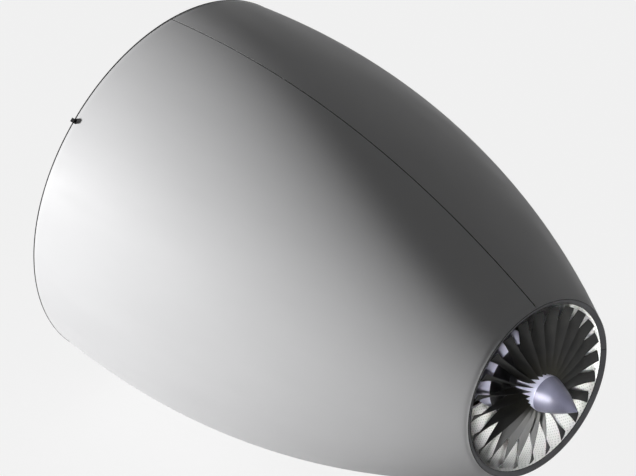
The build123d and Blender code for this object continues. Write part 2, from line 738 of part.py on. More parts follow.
core_nozzle_r = core_exit_r - core_skin - seat
with BuildPart() as core_nozzle:
    with BuildSketch(Plane.XZ):
        Polygon((exhaust_x, turbine_case_r[1]), (exhaust_x, turbine_case_r[1] + 8),
                (core_exit_x, core_nozzle_r), (core_exit_x, core_nozzle_r - 4), align=None)
    revolve(axis=Axis.X)
pieces["core_nozzle"] = core_nozzle

rear_bearing = low_bearings[2]
with BuildPart() as rear_body:
    with BuildSketch(Plane.XZ):
        drum_bore = drum_r - drum_wall
        Polygon((exhaust_x, hot_hub_r), (core_exit_x, drum_r), (drum_x, drum_r), (drum_x, drum_bore),
                (core_exit_x, drum_bore), (exhaust_x, hot_hub_r - drum_wall), align=None)
        ring_section(drum_x - 2 * drum_wall, drum_x, low_housing_r, drum_r)
        ring_section(rear_bearing - 23, drum_x, low_housing_r, low_housing_r + housing_wall)
    revolve(axis=Axis.X)
pieces["rear_body"] = rear_body
pieces["rear_seal"] = rings((drum_x - 12, drum_x - 1, shaft_r + 2, low_housing_r - slip))

# Accessory gearbox under the compressor case, and what it drives
pieces["gearbox"] = arc_block(gearbox_front, gearbox_rear, rib_r + seat, gearbox_r, 180, 92)
for name, turn, radius, length in (
    ("starter", 146, 38, 84),
    ("generator", 168, 42, 70),
    ("fuel_pump", 191, 34, 64),
    ("oil_pump", 213, 30, 56),
):
    with BuildPart() as pieces[name]:
        with Locations(Location((0, 0, 0), (turn, 0, 0))):
            with Locations((gearbox_rear + seat + length / 2, 0, accessory_r)):
                Cylinder(radius, length, rotation=(0, 90, 0))
            with Locations((gearbox_rear + seat + 5, 0, accessory_r)):
                Cylinder(min(radius + 6, 43), 10, rotation=(0, 90, 0))

# Fan: disc, blades and spinner
with BuildPart() as fan_disc:
    with BuildSketch(Plane.XZ):
        ring_section(fan_front, fan_rear, fan_hub_r - 26, fan_hub_r)
        ring_section(fan_x - 24, fan_x + 24, shaft_r + slip, fan_hub_r - 10)
        ring_section(fan_front + 40, fan_rear - 20, shaft_r + slip, shaft_r + 34)
        ring_section(fan_rear - 12, fan_rear, fan_hub_r - 90, fan_hub_r - 10)
        ring_section(fan_x + 10, fan_rear, fan_hub_r - 90, fan_hub_r - 78)
    revolve(axis=Axis.X)
pieces["fan_disc"] = fan_disc

fan_limits = rings((fan_front + 2, fan_rear - 2, fan_hub_r + slip, fan_tip_r)).part
fan_sections = (
    (fan_hub_r - 12, 176, 20, 24, 18),
    (fan_hub_r + 0.33 * (fan_tip_r - fan_hub_r), 188, 15, 17, 38),
    (fan_hub_r + 0.66 * (fan_tip_r - fan_hub_r), 200, 10, 9, 53),
    (fan_tip_r + 14, 212, 6, 4, 63),
)
fan_blade = twisted_blade(fan_x, fan_sections, fan_limits)
with BuildPart() as fan_blades:
    with Locations(*around(blade_count)):
        add(fan_blade)
pieces["fan_blades"] = fan_blades

spinner_end = fan_front - seat
with BuildPart() as spinner:
    with BuildSketch(Plane.XZ):
        with BuildLine():
            run, rise = spinner_shoulder
            outer = Bezier((spinner_x, 0), (spinner_x + run, rise), (spinner_end, spinner_r))
            inner = Bezier((spinner_x + 2 * spinner_wall, 0),
                           (spinner_x + run + spinner_wall, rise - spinner_wall),
                           (spinner_end, spinner_r - spinner_wall))
            Line(outer @ 0, inner @ 0)
            Line(outer @ 1, inner @ 1)
        make_face()
        ring_section(spinner_end - spinner_wall, spinner_end, fan_hub_r - 40, spinner_r - spinner_wall / 2)
    revolve(axis=Axis.X)
pieces["spinner"] = spinner

with BuildPart() as booster_rotor:
    with BuildSketch(Plane.XZ):
        booster_end = frame_x - 7
        bend = splitter_x + 15
        Polygon((fan_rear + seat, fan_hub_r), (bend, booster_hub_r), (booster_end, booster_hub_r),
                (booster_end, booster_hub_r - 10), (bend + 6, booster_hub_r - 10),
                (fan_rear + seat + core_wall, fan_hub_r - 10), (fan_rear + seat + core_wall, fan_hub_r - 80),
                (fan_rear + seat, fan_hub_r - 80), align=None)
    revolve(axis=Axis.X)
    for row in (0.6, 2.6):
        rotor_blade = straight_blade(booster_x + row * booster_pitch, booster_hub_r - 4,
                                     booster_case_r - tip_gap, 22, 3, 3, 35)
        with Locations(*around(30, 6)):
            add(rotor_blade)
pieces["booster_rotor"] = booster_rotor

pieces["low_pressure_shaft"] = rings((fan_front + 40, hub_rear - 20, shaft_bore_r, shaft_r))

# Last rotor and tail cone
with BuildPart() as aft_hub:
    with BuildSketch(Plane.XZ):
        Polygon((hub_front, shaft_r + slip), (hub_front, hub_r[0]), (hub_rear, hub_r[1]),
                (hub_rear, hub_r[1] - 12), (hub_rear - 16, shaft_r + slip), align=None)
    revolve(axis=Axis.X)
pieces["aft_hub"] = aft_hub

with BuildPart() as aft_limits:
    with BuildSketch(Plane.XZ):
        Polygon((hub_front, hub_r[0] + slip), (hub_rear, hub_r[1] + slip), (hub_rear, rotor_tip_r),
                (hub_front, rotor_tip_r), align=None)
    revolve(axis=Axis.X)

aft_span = rotor_tip_r - hub_r[0]
aft_sections = (
    (hub_r[0] - 10, 114, 7, -4, 13),
    (hub_r[0] + 0.37 * aft_span, 93, 6, -4, 16),
    (hub_r[0] + 0.76 * aft_span, 55, 4.5, -2.5, 36),
    (rotor_tip_r + 6, 55, 3, -1, 73),
)
aft_blade = twisted_blade(rotor_x, aft_sections, aft_limits.part)
with BuildPart() as aft_blades:
    with Locations(*around(blade_count, rotor_phase)):
        add(aft_blade)
pieces["aft_blades"] = aft_blades

cone_base = hub_rear + seat
with BuildPart() as tail_cone:
    with BuildSketch(Plane.XZ):
        with BuildLine():
            run, rise = cone_shoulder
            outer = Bezier((cone_base, hub_r[1]), (cone_base + run, rise), (cone_tip, 0))
            inner = Bezier((cone_base, hub_r[1] - cone_wall),
                           (cone_base + run - cone_wall, rise - cone_wall), (cone_tip - 3 * cone_wall, 0))
            Line(outer @ 0, inner @ 0)
            Line(outer @ 1, inner @ 1)
        make_face()
    revolve(axis=Axis.X)
pieces["tail_cone"] = tail_cone


def bearing(prefix, centres, journal_r):
    """Inner rings, rollers and outer rings of the bearings on one shaft, one group of each."""
    half = bearing_width / 2
    roller_path = journal_r + race + seat + roller_r
    outer_r = roller_path + roller_r + seat
    for name, low, high in (("_inner_rings", journal_r + slip, journal_r + race),
                            ("_outer_rings", outer_r, outer_r + race)):
        pieces[prefix + name] = rings(*[(x - half, x + half, low, high) for x in centres])
    with BuildPart() as pieces[prefix + "_rollers"]:
        with Locations(*around(roller_count)):
            with Locations(*[(x, 0, roller_path) for x in centres]):
                Cylinder(roller_r, bearing_width - 6, rotation=(0, 90, 0))


bearing("low_pressure_bearing", low_bearings, shaft_r)
bearing("high_pressure_bearing", high_bearings, high_shaft_r)

os.makedirs("parts", exist_ok=True)
for name, piece in pieces.items():
    piece.part.label = name
    export_step(piece.part, f"parts/{name}.step")
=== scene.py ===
import json
import math

import bmesh
import bpy
from mathutils import Matrix, Vector


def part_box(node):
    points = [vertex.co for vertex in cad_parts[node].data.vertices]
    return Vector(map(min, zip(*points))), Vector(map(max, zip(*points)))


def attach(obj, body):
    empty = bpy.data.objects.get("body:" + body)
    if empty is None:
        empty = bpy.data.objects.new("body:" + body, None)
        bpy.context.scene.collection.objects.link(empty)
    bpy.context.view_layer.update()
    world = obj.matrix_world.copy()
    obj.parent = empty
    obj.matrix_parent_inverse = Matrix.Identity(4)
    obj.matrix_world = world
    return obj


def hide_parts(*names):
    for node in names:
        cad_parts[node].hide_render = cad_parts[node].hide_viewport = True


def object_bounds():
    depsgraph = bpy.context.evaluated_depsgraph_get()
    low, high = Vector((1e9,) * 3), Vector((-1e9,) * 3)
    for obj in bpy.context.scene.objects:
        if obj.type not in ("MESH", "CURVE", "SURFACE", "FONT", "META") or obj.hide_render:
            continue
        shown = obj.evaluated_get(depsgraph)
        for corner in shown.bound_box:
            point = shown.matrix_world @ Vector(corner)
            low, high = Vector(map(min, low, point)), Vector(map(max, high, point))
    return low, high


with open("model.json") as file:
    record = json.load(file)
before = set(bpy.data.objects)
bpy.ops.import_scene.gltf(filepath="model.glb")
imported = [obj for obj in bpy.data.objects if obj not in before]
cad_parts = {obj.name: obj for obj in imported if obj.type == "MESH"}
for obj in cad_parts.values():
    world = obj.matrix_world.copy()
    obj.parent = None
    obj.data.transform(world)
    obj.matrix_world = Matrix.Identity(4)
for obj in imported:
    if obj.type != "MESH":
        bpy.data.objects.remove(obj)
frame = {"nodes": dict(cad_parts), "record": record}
cadLow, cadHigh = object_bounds()
nodes = frame["nodes"]
print("frame loaded:", len(nodes), "nodes")


# colours and shader nodes

def fromHex(code):
    channels = [int(code[i:i + 2], 16) / 255 for i in (0, 2, 4)]
    return [c / 12.92 if c <= 0.04045 else ((c + 0.055) / 1.055) ** 2.4 for c in channels] + [1.0]


def addNode(tree, kind, values=None, links=None, **settings):
    # values are plain numbers or colours for the node's inputs, links the sockets that feed them
    node = tree.nodes.new("ShaderNode" + kind)
    for key, value in settings.items():
        setattr(node, key, value)
    for key, value in (values or {}).items():
        node.inputs[key].default_value = value
    for key, source in (links or {}).items():
        tree.links.new(source, node.inputs[key])
    return node


def startMaterial(name, values):
    material = bpy.data.materials.new(name)
    material.use_nodes = True
    tree = material.node_tree
    shader = tree.nodes["Principled BSDF"]
    for key, value in values.items():
        shader.inputs[key].default_value = value
    return material, tree, shader


def reckon(tree, operation, *sources):
    # each source is a socket or a plain number
    values = {i: source for i, source in enumerate(sources) if isinstance(source, (int, float))}
    links = {i: source for i, source in enumerate(sources) if i not in values}
    return addNode(tree, "Math", values, links, operation=operation).outputs[0]


def mixColours(tree, share, ground, colour):
    # a Mix node has its two colours at 6 and 7, and its mixed colour at 2
    return addNode(tree, "Mix", {7: fromHex(colour)}, {0: share, 6: ground}, data_type="RGBA").outputs[2]


def placeOnAxis(tree):
    # the spot itself, its length along the engine, its angle round it and its radius
    spot = addNode(tree, "TexCoord").outputs["Object"]
    parts = addNode(tree, "SeparateXYZ", links={0: spot}).outputs
    turn = reckon(tree, "ARCTAN2", parts["Z"], parts["Y"])
    across = addNode(tree, "CombineXYZ", links={"X": parts["Y"], "Y": parts["Z"]}).outputs[0]
    radius = addNode(tree, "VectorMath", operation="LENGTH", links={0: across}).outputs["Value"]
    return spot, parts["X"], turn, radius


noiseEnds = (0.3, 0.7)  # noise keeps to the middle of its range, so shades and sheens run between these


def shadeBetween(tree, factor, dark, light):
    ramp = addNode(tree, "ValToRGB", links={0: factor})
    for element, place, shade in zip(ramp.color_ramp.elements, noiseEnds, (dark, light)):
        element.position = place
        element.color = fromHex(shade)
    return ramp.outputs[0]


def rangeOf(tree, source, fromLow, fromHigh, toLow, toHigh):
    values = {1: fromLow, 2: fromHigh, 3: toLow, 4: toHigh}
    return addNode(tree, "MapRange", values, {0: source}).outputs[0]


def wornSheen(tree, shader, source, rough, spread):
    # the roughness strays from rough by the two steps of spread, so that the sheen is uneven
    low, high = rough + spread[0], rough + spread[1]
    tree.links.new(rangeOf(tree, source, *noiseEnds, low, high), shader.inputs["Roughness"])


def noise(tree, spot, size, detail=3.0, stretch=(1, 1, 1)):
    # size is the width of one blotch in metres
    place = addNode(tree, "Mapping", {"Scale": stretch}, {"Vector": spot}).outputs[0]
    return addNode(tree, "TexNoise", {"Scale": 1 / size, "Detail": detail}, {"Vector": place}).outputs[0]


def bump(tree, shader, height, distance, strength=1.0):
    made = addNode(tree, "Bump", {"Strength": strength, "Distance": distance}, {"Height": height})
    tree.links.new(made.outputs[0], shader.inputs["Normal"])


# materials, each named for what the real piece is made of; cloud is the width of a broad blotch, and
# smear, peel, pitch, groove, streak and grain are widths too, in metres; deep is how far fine marks sink
# in and marked how strongly they show; spread is how far the roughness strays down and up

enamel = {"ior": 1.45, "shine": 0.2, "cloud": 0.45, "cloudDrawn": (0.4, 1, 1), "smear": 0.12,
          "smearDrawn": (0.25, 1, 1), "spread": (-0.04, 0.05), "peel": 0.010, "deep": 0.00012, "marked": 0.5}


def satinEnamel(name, dark, light, rough):
    # sprayed polyurethane enamel over aluminium skin: even, with a soft sheen and faint orange peel,
    # which is about 3 mm wide on the real skin and drawn coarser so that it shows
    values = {"Roughness": rough, "IOR": enamel["ior"], "Specular IOR Level": enamel["shine"]}
    material, tree, shader = startMaterial(name, values)
    spot = addNode(tree, "TexCoord").outputs["Object"]
    cloud = noise(tree, spot, enamel["cloud"], 4, enamel["cloudDrawn"])
    tree.links.new(shadeBetween(tree, cloud, dark, light), shader.inputs["Base Color"])
    smear = noise(tree, spot, enamel["smear"], 5, enamel["smearDrawn"])
    wornSheen(tree, shader, smear, rough, enamel["spread"])
    bump(tree, shader, noise(tree, spot, enamel["peel"], 2), enamel["deep"], enamel["marked"])
    return material


panel = {"rough": 0.55, "ior": 1.45, "pitch": 0.022, "rim": (0.62, 0.9), "holeShade": "9A9A98", "cloud": 0.2,
         "deep": 0.0008, "marked": 0.6}


def acousticPanel(name, dark, light):
    # white face sheet of a sound-absorbing panel: rows of drilled holes under matt paint; real holes are
    # 1.5 mm at 4 mm pitch, drawn coarser so that the rows show; rim is where a hole starts and is full
    material, tree, shader = startMaterial(name, {"Roughness": panel["rough"], "IOR": panel["ior"]})
    spot, along, turn, radius = placeOnAxis(tree)
    around = reckon(tree, "MULTIPLY", turn, radius)
    phases = [reckon(tree, "MULTIPLY", source, math.tau / panel["pitch"]) for source in (along, around)]
    waves = [reckon(tree, "COSINE", phase) for phase in phases]
    holeShade = rangeOf(tree, reckon(tree, "MULTIPLY", *waves), *panel["rim"], 0, 1)
    ground = shadeBetween(tree, noise(tree, spot, panel["cloud"], 3), dark, light)
    # each hole is coloured a flat grey: painted shade for the dark inside the hole
    tree.links.new(mixColours(tree, holeShade, ground, panel["holeShade"]), shader.inputs["Base Color"])
    bump(tree, shader, reckon(tree, "SUBTRACT", 1.0, holeShade), panel["deep"], panel["marked"])
    return material


turned = {"cloud": 0.08, "spread": (-0.05, 0.07), "deep": 0.00006}


def turnedMetal(name, dark, light, rough, groove=0.004, metal=1.0, marked=0.35):
    # metal turned or spun about the engine's axis: fine rings of tool marks, long soft reflections;
    # real marks are under 1 mm apart, drawn coarser so that they show
    material, tree, shader = startMaterial(name, {"Metallic": metal, "Roughness": rough})
    spot, along, turn, radius = placeOnAxis(tree)
    rings = addNode(tree, "CombineXYZ", links={"X": along, "Y": radius}).outputs[0]
    marks = noise(tree, rings, groove, 2)
    cloud = noise(tree, spot, turned["cloud"], 4)
    tree.links.new(shadeBetween(tree, cloud, dark, light), shader.inputs["Base Color"])
    wornSheen(tree, shader, marks, rough, turned["spread"])
    bump(tree, shader, marks, turned["deep"], marked)
    return material


forging = {"cloud": 0.05, "streak": 0.006, "round": 2.0, "spread": (-0.06, 0.08), "deep": 0.00005,
           "marked": 0.4}


def brushedBlade(name, dark, light, warm, rough, hubEnd=0.08, tipEnd=0.2, metal=1.0):
    # forged blade alloy, ground along the span: dull streaks from hub to tip, heat tint near the hub;
    # the grinding is about 1 mm wide, drawn coarser so that it shows; round turns the angle into metres
    material, tree, shader = startMaterial(name, {"Metallic": metal, "Roughness": rough})
    spot, along, turn, radius = placeOnAxis(tree)
    angle = reckon(tree, "MULTIPLY", turn, forging["round"])
    streakSpot = addNode(tree, "CombineXYZ", links={"X": along, "Y": angle}).outputs[0]
    streak = noise(tree, streakSpot, forging["streak"], 3)
    ground = shadeBetween(tree, noise(tree, spot, forging["cloud"], 4), dark, light)
    nearHub = rangeOf(tree, radius, hubEnd, tipEnd, 1.0, 0.0)
    tree.links.new(mixColours(tree, nearHub, ground, warm), shader.inputs["Base Color"])
    wornSheen(tree, shader, streak, rough, forging["spread"])
    bump(tree, shader, streak, forging["deep"], forging["marked"])
    return material


casting = {"cloud": 0.06, "spread": (-0.08, 0.08), "grain": 0.004, "deep": 0.0002, "marked": 0.5}


def castMetal(name, dark, light, rough):
    # sand-cast or heat-worn alloy: grainy, dull, with broad colour changes; real grain is about 1 mm,
    # drawn coarser so that it shows
    material, tree, shader = startMaterial(name, {"Metallic": 1.0, "Roughness": rough})
    spot = addNode(tree, "TexCoord").outputs["Object"]
    cloud = noise(tree, spot, casting["cloud"], 5)
    tree.links.new(shadeBetween(tree, cloud, dark, light), shader.inputs["Base Color"])
    wornSheen(tree, shader, cloud, rough, casting["spread"])
    bump(tree, shader, noise(tree, spot, casting["grain"], 2), casting["deep"], casting["marked"])
    return material


rubber = {"rough": 0.75, "ior": 1.42, "cloud": 0.02, "grain": 0.003, "deep": 0.0002, "marked": 0.4}


def sealRubber(name, dark, light):
    # extruded silicone rubber: matt and almost black
    material, tree, shader = startMaterial(name, {"Roughness": rubber["rough"], "IOR": rubber["ior"]})
    spot = addNode(tree, "TexCoord").outputs["Object"]
    cloud = noise(tree, spot, rubber["cloud"])
    tree.links.new(shadeBetween(tree, cloud, dark, light), shader.inputs["Base Color"])
    bump(tree, shader, noise(tree, spot, rubber["grain"], 2), rubber["deep"], rubber["marked"])
    return material


finishes = {
    "cowl_paint": satinEnamel("satin_enamel", "E2E2E3", "E8E8E9", 0.5),
    "lip_metal": turnedMetal("spun_aluminium", "C4C5C8", "D6D7D9", 0.2),
    "duct_panel": acousticPanel("acoustic_panel", "E6E6E3", "EFEFED"),
    "inner_metal": turnedMetal("machined_aluminium", "A4A6A9", "BEC0C2", 0.32),
    "frame_metal": castMetal("cast_steel", "6F7174", "8B8D90", 0.42),
    "hot_metal": castMetal("heat_tinted_nickel", "5B5048", "8A8279", 0.45),
    "ring_metal": turnedMetal("satin_titanium", "48484A", "545456", 0.42),
    "fan_metal": brushedBlade("forged_titanium", "808388", "9A9DA2", "8A8C90", 0.3, 0.2, 0.4),
    "blade_metal": brushedBlade("dark_turbine_alloy", "171717", "20201F", "23221D", 0.58, metal=0.35),
    # the cone's alloy, made darker as painted shade on the cone
    "cone_metal": turnedMetal("polished_alloy", "4A4A58", "565664", 0.44, 0.0015, 0.3, 0.08),
    "bearing_steel": turnedMetal("ground_bearing_steel", "B4B5B8", "CACBCD", 0.12),
    "housing_cast": castMetal("cast_aluminium", "94969A", "ADAFB1", 0.5),
    "seal_rubber": sealRubber("silicone_rubber", "0C0C0C", "181818"),
    "lug_steel": castMetal("black_oxide_steel", "1E1E1F", "2C2C2D", 0.45),
}
# a lighter copy of the cone's alloy, with the same sheen, for the hub and drum: painted light for where light
# falls on them, while the cone's darker copy is painted shade
litAlloyCopy = turnedMetal("lit_copy_turned_alloy", "A6A6B8", "B6B6C8", 0.44, 0.0015, 0.3, 0.08)
slotOf = {entry["node"]: entry["material_slot"] for entry in frame["record"]["subparts"]}
for node, piece in nodes.items():
    piece.data.materials.clear()
    piece.data.materials.append(finishes[slotOf[node]])
    for face in piece.data.polygons:
        face.use_smooth = True
print("materials ready:", len(finishes))


# shapes

segments = {"rim": 256, "wall": 192, "drum": 160, "cone": 128, "halfCowl": 120}  # steps round a piece
hair = 0.0001  # what lies on another surface stands this far off it
tiny = 1e-6  # what is nearer than this counts as the same spot


def curveAt(radii, t):
    a, b, c, d = radii
    return a * (1 - t) ** 3 + 3 * b * t * (1 - t) ** 2 + 3 * c * t * t * (1 - t) + d * t ** 3


def evenly(count):
    return [i / count for i in range(count + 1)]


def curveRadii(radii, start, end, count, change=0.0):
    # points of a cubic curve whose four control radii are evenly spaced along the axis
    return [(start + (end - start) * t, curveAt(radii, t) + change) for t in evenly(count)]


def blended(points, count=32):
    # a quadratic curve through its end points, pulled to the middle one
    a, b, c = [Vector(p) for p in points]
    return [tuple(a * (1 - t) ** 2 + b * 2 * t * (1 - t) + c * t ** 2) for t in evenly(count)]


def softened(outline, radius, steps=3, least=25, most=0.45):
    # rounds each corner of a closed outline that turns by more than least degrees,
    # and takes at most this share of the lines beside it
    made = []
    for i, spot in enumerate(outline):
        here = Vector(spot)
        before = Vector(outline[i - 1]) - here
        after = Vector(outline[(i + 1) % len(outline)]) - here
        turn = 180 - math.degrees(before.angle(after))
        onAxis = abs(here.y) < tiny
        if turn < least or onAxis:
            made.append(tuple(here))
            continue
        first = here + before.normalized() * min(radius, before.length * most)
        last = here + after.normalized() * min(radius, after.length * most)
        made += blended([first, here, last], steps)
    return made


def joinLoops(shape, loops):
    # four-sided faces between each closed loop of points and the next
    for one, two in zip(loops, loops[1:]):
        for j in range(len(one)):
            k = (j + 1) % len(one)
            shape.faces.new((one[j], one[k], two[k], two[j]))


def finishMesh(shape, name, material, body, replaced=(), sharp=30, look=None):
    # look is the finish where it isn't the slot's own
    bmesh.ops.remove_doubles(shape, verts=shape.verts, dist=tiny)
    bmesh.ops.recalc_face_normals(shape, faces=shape.faces)
    mesh = bpy.data.meshes.new(name)
    shape.to_mesh(mesh)
    shape.free()
    for face in mesh.polygons:
        face.use_smooth = True
    mesh.set_sharp_from_angle(angle=math.radians(sharp))
    mesh.materials.append(look or finishes[material])
    piece = bpy.data.objects.new(name, mesh)
    bpy.context.scene.collection.objects.link(piece)
    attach(piece, body)
    if replaced:
        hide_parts(*replaced)


def lathe(outline, steps, start=0.0, sweep=math.tau, gap=0.0):
    # turns a closed outline of (x, r) about the axis, the angle counted from +Y towards +Z;
    # gap is the width of the parallel slot left between the two ends
    shape = bmesh.new()
    whole = sweep >= math.tau - tiny and gap == 0
    columns = []
    for i in range(steps if whole else steps + 1):
        column = []
        for x, r in outline:
            trim = math.asin(min(1, gap / 2 / r)) if r > tiny else 0.0
            angle = start + trim + (sweep - 2 * trim) * i / steps
            column.append(shape.verts.new((x, r * math.cos(angle), r * math.sin(angle))))
        columns.append(column)
    joinLoops(shape, columns + columns[:1] if whole else columns)
    if not whole:
        ends = [shape.faces.new(columns[0]), shape.faces.new(reversed(columns[-1]))]
        bmesh.ops.triangulate(shape, faces=ends)
    return shape


# cowl: two halves with a narrow parallel seam at top and bottom

cowl = {"radii": (0.890, 0.993, 0.869, 0.4485), "length": 2.390, "spots": 72, "skin": 0.014, "seam": 0.006,
        "edge": 0.0015}
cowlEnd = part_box("cowl_left")[1].x


def cowlLine(change):
    # the skin's line, cut off where the nozzle ring starts
    line = curveRadii(cowl["radii"], 0, cowl["length"], cowl["spots"], change)
    endR = curveAt(cowl["radii"], round(cowlEnd / cowl["length"], 3)) + change
    return [spot for spot in line if spot[0] < cowlEnd - tiny] + [(cowlEnd, endR)]


cowlOutline = softened(cowlLine(0) + cowlLine(-cowl["skin"])[::-1], cowl["edge"])
for node, start in (("cowl_left", math.pi / 2), ("cowl_right", -math.pi / 2)):
    half = lathe(cowlOutline, segments["halfCowl"], start, math.pi, cowl["seam"])
    finishMesh(half, node + "_skin", "cowl_paint", "casing", (node,))

# black rubber seals: a bead over the skin's front edge and a strip in each seam
bead = {"wide": 0.006, "proud": 0.0012, "deep": 0.008, "round": 0.0010}


def cowlR(x):
    return curveAt(cowl["radii"], x / cowl["length"])


def overSkin(start, end, proud, innerR, gap=0.0, corner=bead["round"]):
    # a ring that lies over the skin's line from start to end
    outline = [(start, innerR), (start, cowlR(start) + proud), (end, cowlR(end) + proud), (end, innerR)]
    return lathe(softened(outline, corner), segments["rim"], 0, math.tau, gap)


frontBead = overSkin(0, bead["wide"], bead["proud"], cowlR(0) - bead["deep"])
finishMesh(frontBead, "cowl_front_bead", "seal_rubber", "casing")

strip = {"width": 0.0056, "sunk": 0.0006, "deep": 0.010, "spots": 120, "endGap": 0.0005}
stripCorners = ((-1, strip["deep"]), (-1, strip["sunk"]), (1, strip["sunk"]), (1, strip["deep"]))
for side, name in ((1, "top_seam_strip"), (-1, "bottom_seam_strip")):
    shape = bmesh.new()
    rows = []
    for x, r in curveRadii(cowl["radii"], 0.0, cowl["length"], strip["spots"]):
        if bead["wide"] < x < cowlEnd - strip["endGap"]:
            rows.append([shape.verts.new((x, y * strip["width"] / 2, side * (r - depth)))
                         for y, depth in stripCorners])
    joinLoops(shape, rows)
    shape.faces.new(rows[0])
    shape.faces.new(rows[-1])
    finishMesh(shape, name, "seal_rubber", "casing")
print("cowl done")


# nozzle ring: sleeve and dished rear face in one, cut once at the side

ring = {
    "rear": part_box("nozzle_ring")[1].x,
    "front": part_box("nozzle_ring")[0].x,
    "outerR": 0.4485,
    "innerR": 0.424,
    "throatR": 0.420,
    "dish": 0.012,
    "land": 0.005,
    "sleeve": 0.007,
    "thick": 0.008,
    "splice": 0.0025,
    "edge": 0.0012,
}
footX = ring["rear"] - ring["dish"]
landR = ring["outerR"] - ring["land"]


def throatLine(count):
    # from the ring's front through its throat, halfway, to the foot of its dish
    length, depth = footX - ring["front"], ring["innerR"] - ring["throatR"]
    return [(ring["front"] + length * t, ring["innerR"] - depth * 4 * t * (1 - t)) for t in evenly(count)]


sleeveR = ring["innerR"] + ring["sleeve"]
flangeX = ring["rear"] - ring["thick"]
ringOutline = softened(throatLine(16) + [
    (ring["rear"], landR), (ring["rear"], ring["outerR"]), (flangeX, ring["outerR"]),
    (flangeX, (ring["innerR"] + ring["outerR"]) / 2), (flangeX - ring["dish"], sleeveR),
    (ring["front"], sleeveR),
], ring["edge"])
cutRing = lathe(ringOutline, segments["rim"], 0, math.tau, ring["splice"])
finishMesh(cutRing, "nozzle_ring_turned", "ring_metal", "casing", ("nozzle_ring",))

# painted band that carries the cowl's line over the ring's edge, and the black bead behind it
band = {"gap": 0.0004, "bareEdge": 0.0035, "corner": 0.0001, "beadProud": 0.0006}
bandEnd, bandR = ring["rear"] - band["bareEdge"], ring["outerR"] + hair
paintedBand = overSkin(cowlEnd + band["gap"], bandEnd, 0, bandR, ring["splice"], band["corner"])
finishMesh(paintedBand, "nozzle_ring_band", "cowl_paint", "casing")
edgeBead = overSkin(bandEnd, ring["rear"], band["beadProud"], bandR, ring["splice"])
finishMesh(edgeBead, "nozzle_edge_bead", "seal_rubber", "casing")

# white skin inside the ring's sleeve, which ends in a black bead at the foot of the dish
liner = {"thick": 0.0008, "bead": 0.004, "beadProud": 0.0012, "beadLap": 0.0008, "beadRound": 0.0004}
linerSpots = [spot for spot in throatLine(24) if spot[0] < footX - tiny]
linerOutline = linerSpots + [(x, r - liner["thick"]) for x, r in linerSpots[::-1]]
finishMesh(lathe(linerOutline, segments["wall"]), "nozzle_liner", "duct_panel", "casing")
footR = ring["innerR"] - liner["beadProud"]
footOutline = softened([
    (footX - liner["bead"], ring["innerR"]), (footX + liner["beadLap"], ring["innerR"]),
    (footX + liner["beadLap"], footR), (footX - liner["bead"], footR),
], liner["beadRound"])
finishMesh(lathe(footOutline, segments["wall"]), "nozzle_foot_bead", "seal_rubber", "casing")

# black rubber strip over the ring's splice, from the foot of the dish to its outer edge
cover = {"wide": 0.0046, "thick": 0.0006, "inset": 0.001, "rise": 0.0016}
coverSpots = [(footX + cover["inset"], ring["innerR"] + cover["rise"]), (ring["rear"], landR),
              (ring["rear"], ring["outerR"])]
coverOutline = coverSpots + [(x + cover["thick"], r) for x, r in coverSpots[::-1]]
coverSweep = cover["wide"] / ring["outerR"]
coverStrip = lathe(coverOutline, 4, -coverSweep / 2, coverSweep)
finishMesh(coverStrip, "nozzle_splice_strip", "seal_rubber", "casing")


# bypass duct and intake lip: the wetted walls seen through both ends

duct = {"radii": (0.806, 0.815, 0.600, 0.424), "spots": 60, "wall": 0.008, "flange": 0.850,
        "flangeThick": 0.010, "edge": 0.001}
ductFront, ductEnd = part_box("bypass_duct")[0].x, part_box("bypass_duct")[1].x
ductFlangeX = ductFront + duct["flangeThick"]
ductInner = curveRadii(duct["radii"], ductFront, ductEnd, duct["spots"])
ductOuter = [(x, r + duct["wall"]) for x, r in ductInner if x > ductFlangeX][::-1]
ductFlange = [(ductFlangeX, duct["flange"]), (ductFront, duct["flange"])]
ductOutline = softened(ductInner + ductOuter + ductFlange, duct["edge"])
finishMesh(lathe(ductOutline, segments["wall"]), "bypass_duct_panel", "duct_panel", "casing",
           ("bypass_duct",))

lip = {"rear": 0.190, "wall": 0.005, "land": 0.008, "throatR": 0.815, "edge": 0.003, "spots": 28}
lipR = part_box("inlet_lip")[1].z
noseR = lipR - lip["land"]
rise = noseR - lip["throatR"]


def noseLine(inset):
    # a quarter of an oval, from the front of the lip round to its throat
    wide, tall = lip["rear"] - inset, rise - inset
    turns = [math.pi * (1 + t / 2) for t in evenly(lip["spots"])]
    return [(lip["rear"] + wide * math.cos(a), noseR + tall * math.sin(a)) for a in turns]


lipOutline = softened(noseLine(0) + noseLine(lip["wall"])[::-1] + [
    (lip["wall"], lipR - lip["wall"]), (lip["rear"], lipR - lip["wall"]), (lip["rear"], lipR), (0, lipR),
], lip["edge"])
finishMesh(lathe(lipOutline, segments["rim"]), "inlet_lip_spun", "lip_metal", "casing", ("inlet_lip",))


# tail cone, hub, drum and spinner

cone = {"base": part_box("tail_cone")[0].x, "tip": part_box("tail_cone")[1].x, "r": 0.090, "wall": 0.005,
        "shoulder": (0.108, 0.061), "edge": 0.001}
coneX, coneR = cone["base"] + cone["shoulder"][0], cone["shoulder"][1]
coneOutline = softened(blended([(cone["base"], cone["r"]), (coneX, coneR), (cone["tip"], 0)]) + blended([
    (cone["tip"] - 3 * cone["wall"], 0), (coneX - cone["wall"], coneR - cone["wall"]),
    (cone["base"], cone["r"] - cone["wall"]),
]), cone["edge"])
finishMesh(lathe(coneOutline, segments["cone"]), "tail_cone_spun", "cone_metal", "low_pressure_spool",
           ("tail_cone",))

